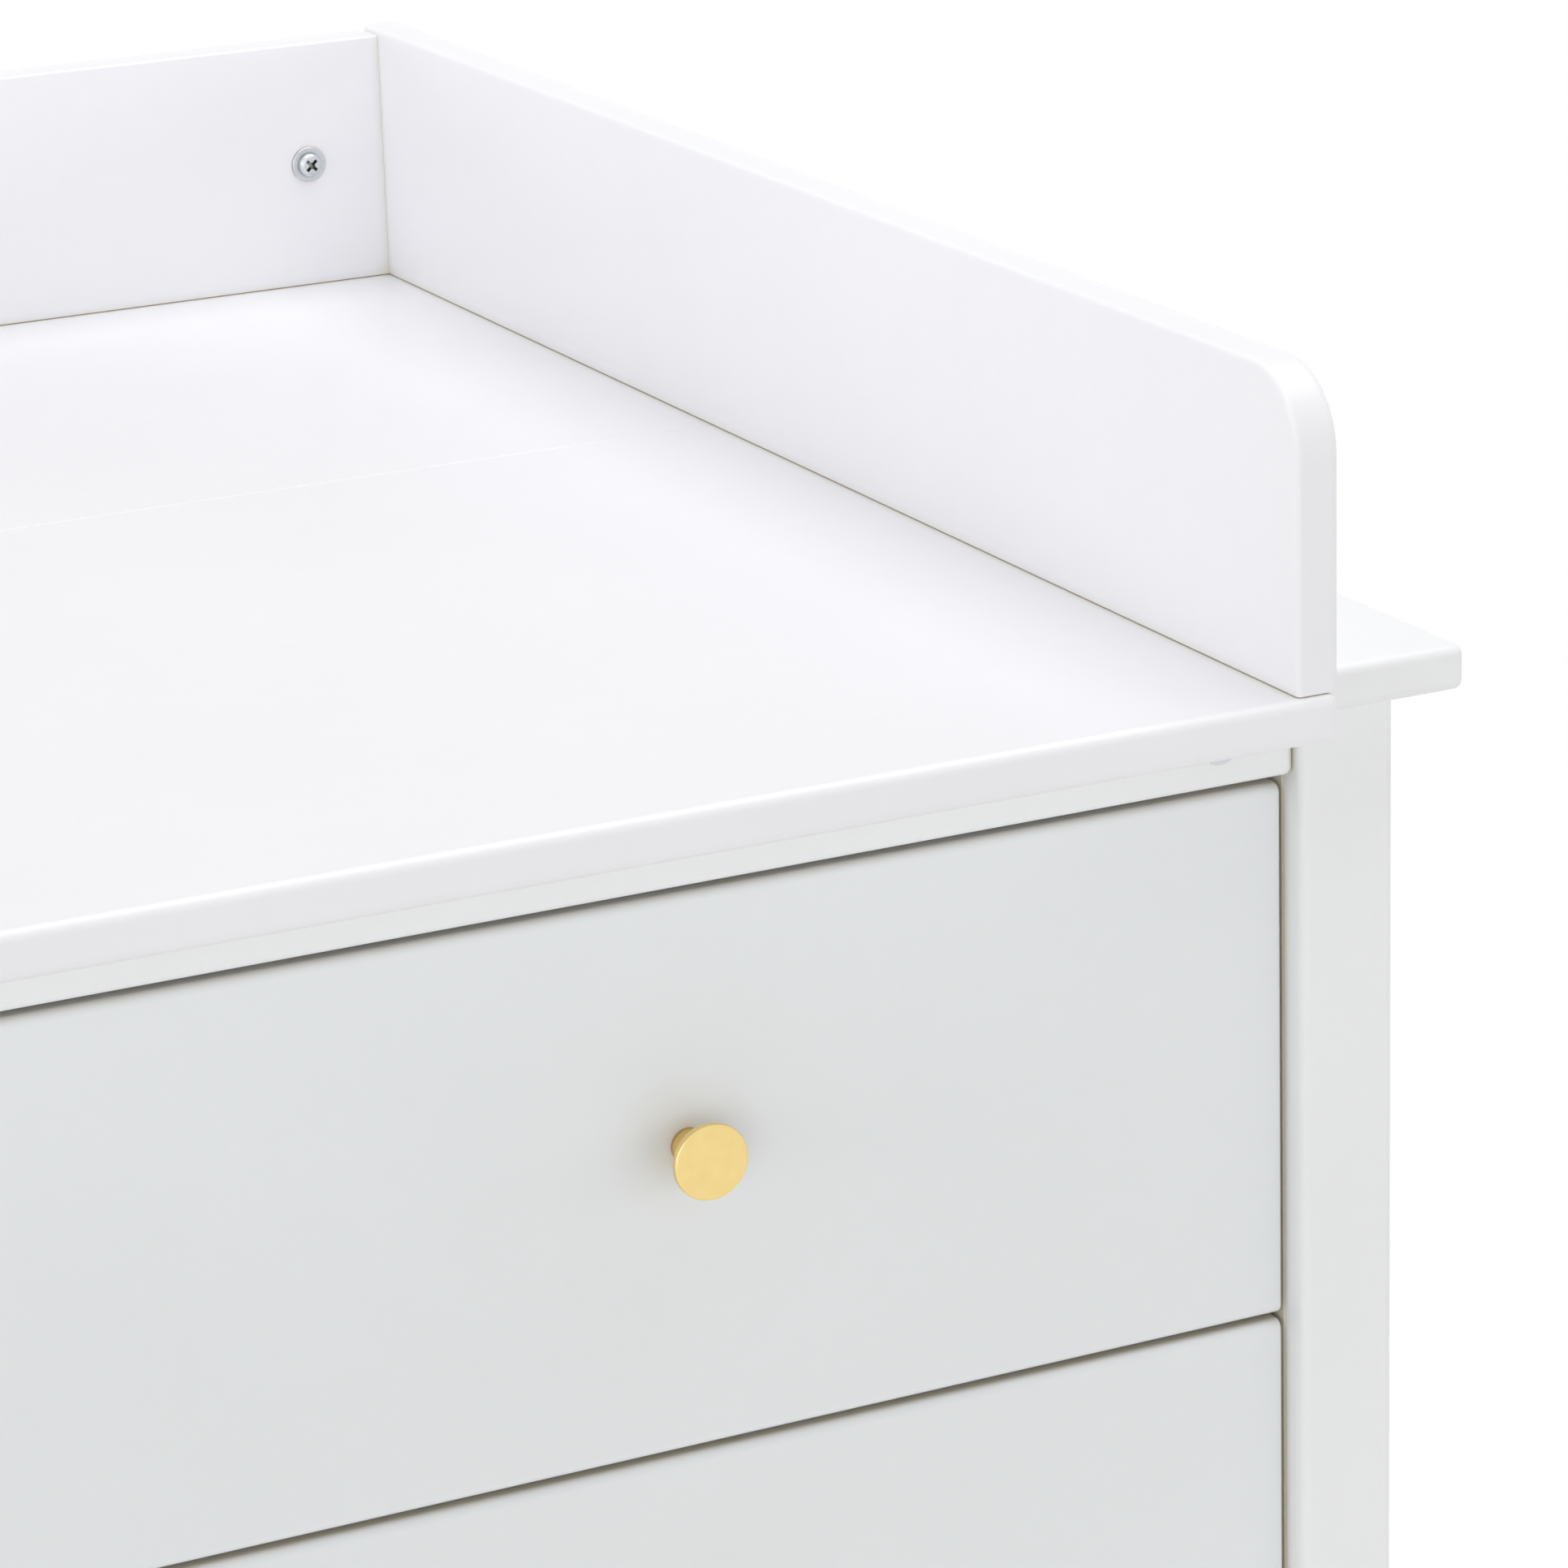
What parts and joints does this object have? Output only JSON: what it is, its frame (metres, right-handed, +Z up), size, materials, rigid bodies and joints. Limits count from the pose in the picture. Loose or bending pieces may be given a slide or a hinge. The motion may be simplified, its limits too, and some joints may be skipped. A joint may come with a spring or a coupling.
{
  "type": "changing dresser",
  "caption": "Chest of drawers on short board legs with round knobs and, on top, a changing tray with a low rail at its back and sides that overhangs the front.",
  "frame": {"origin": "on the floor, under the centre of the whole piece's box", "axes": "+X to the right as seen from the front, along the width; +Y to the back; +Z up. The drawers open along -Y"},
  "size_m": [1.068, 0.7684, 0.9921],
  "materials": {
    "lacquer": "white satin lacquer on board",
    "raw_board": "untreated light wood",
    "drawer_board": "off-white foil on board, matt",
    "thin_panel": "white painted hardboard, matt",
    "brass": "brushed satin",
    "zinc": "zinc plated, satin",
    "slide_steel": "rolled, zinc plated",
    "dowel_wood": "untreated beech",
    "glide": "matt"
  },
  "bodies": {
    "chest": {"tray_front_plank": "lacquer", "tray_back_plank": "lacquer", "tray_right_rail": "lacquer", "tray_left_rail": "lacquer", "tray_back_rail": "lacquer", "tray_fixing_plates": "zinc", "tray_rail_screws": "zinc", "tray_fixing_screws": "zinc", "tray_plate_screws": "zinc", "fixing_washers": "zinc", "dresser_top": "lacquer", "front_right_leg": "lacquer", "front_left_leg": "lacquer", "front_slide_posts": "raw_board", "back_right_leg": "lacquer", "back_left_leg": "lacquer", "back_slide_posts": "raw_board", "right_side_panel": "lacquer", "left_side_panel": "lacquer", "back_panel": "thin_panel", "base_panel": "thin_panel", "top_front_rail": "lacquer", "bottom_front_rail": "lacquer", "top_back_rail": "lacquer", "bottom_back_rail": "lacquer", "corner_blocks": "raw_board", "corner_block_screws": "zinc", "front_rail_screws": "zinc", "dowels": "dowel_wood", "leg_glides": "glide", "cabinet_slide_members": "slide_steel", "slide_screws": "zinc"},
    "top_drawer": {"top_drawer_front": "lacquer", "top_drawer_right_side": "drawer_board", "top_drawer_left_side": "drawer_board", "top_drawer_back": "drawer_board", "top_drawer_bottom": "thin_panel", "top_drawer_knobs": "brass", "top_drawer_knob_screws": "zinc", "top_drawer_inner_slides": "slide_steel"},
    "top_telescopes": {"top_drawer_telescope_slides": "slide_steel"},
    "middle_drawer": {"middle_drawer_front": "lacquer", "middle_drawer_right_side": "drawer_board", "middle_drawer_left_side": "drawer_board", "middle_drawer_back": "drawer_board", "middle_drawer_bottom": "thin_panel", "middle_drawer_knobs": "brass", "middle_drawer_knob_screws": "zinc", "middle_drawer_inner_slides": "slide_steel"},
    "middle_telescopes": {"middle_drawer_telescope_slides": "slide_steel"},
    "bottom_drawer": {"bottom_drawer_front": "lacquer", "bottom_drawer_right_side": "drawer_board", "bottom_drawer_left_side": "drawer_board", "bottom_drawer_back": "drawer_board", "bottom_drawer_bottom": "thin_panel", "bottom_drawer_knobs": "brass", "bottom_drawer_knob_screws": "zinc", "bottom_drawer_inner_slides": "slide_steel"},
    "bottom_telescopes": {"bottom_drawer_telescope_slides": "slide_steel"}
  },
  "joints": [
    {"name": "top_drawer_slide", "type": "slide", "parent": "chest", "child": "top_drawer", "axis": [0, -1, 0], "range_m": [0, 0.55]},
    {"name": "top_telescope_slide", "type": "slide", "parent": "chest", "child": "top_telescopes", "axis": [0, -1, 0], "range_m": [0, 0.275]},
    {"name": "middle_drawer_slide", "type": "slide", "parent": "chest", "child": "middle_drawer", "axis": [0, -1, 0], "range_m": [0, 0.55]},
    {"name": "middle_telescope_slide", "type": "slide", "parent": "chest", "child": "middle_telescopes", "axis": [0, -1, 0], "range_m": [0, 0.275]},
    {"name": "bottom_drawer_slide", "type": "slide", "parent": "chest", "child": "bottom_drawer", "axis": [0, -1, 0], "range_m": [0, 0.55]},
    {"name": "bottom_telescope_slide", "type": "slide", "parent": "chest", "child": "bottom_telescopes", "axis": [0, -1, 0], "range_m": [0, 0.275]}
  ],
  "couplings": [
    {"joint": "top_telescope_slide", "follows": "top_drawer_slide", "ratio": 0.5},
    {"joint": "middle_telescope_slide", "follows": "middle_drawer_slide", "ratio": 0.5},
    {"joint": "bottom_telescope_slide", "follows": "bottom_drawer_slide", "ratio": 0.5}
  ]
}
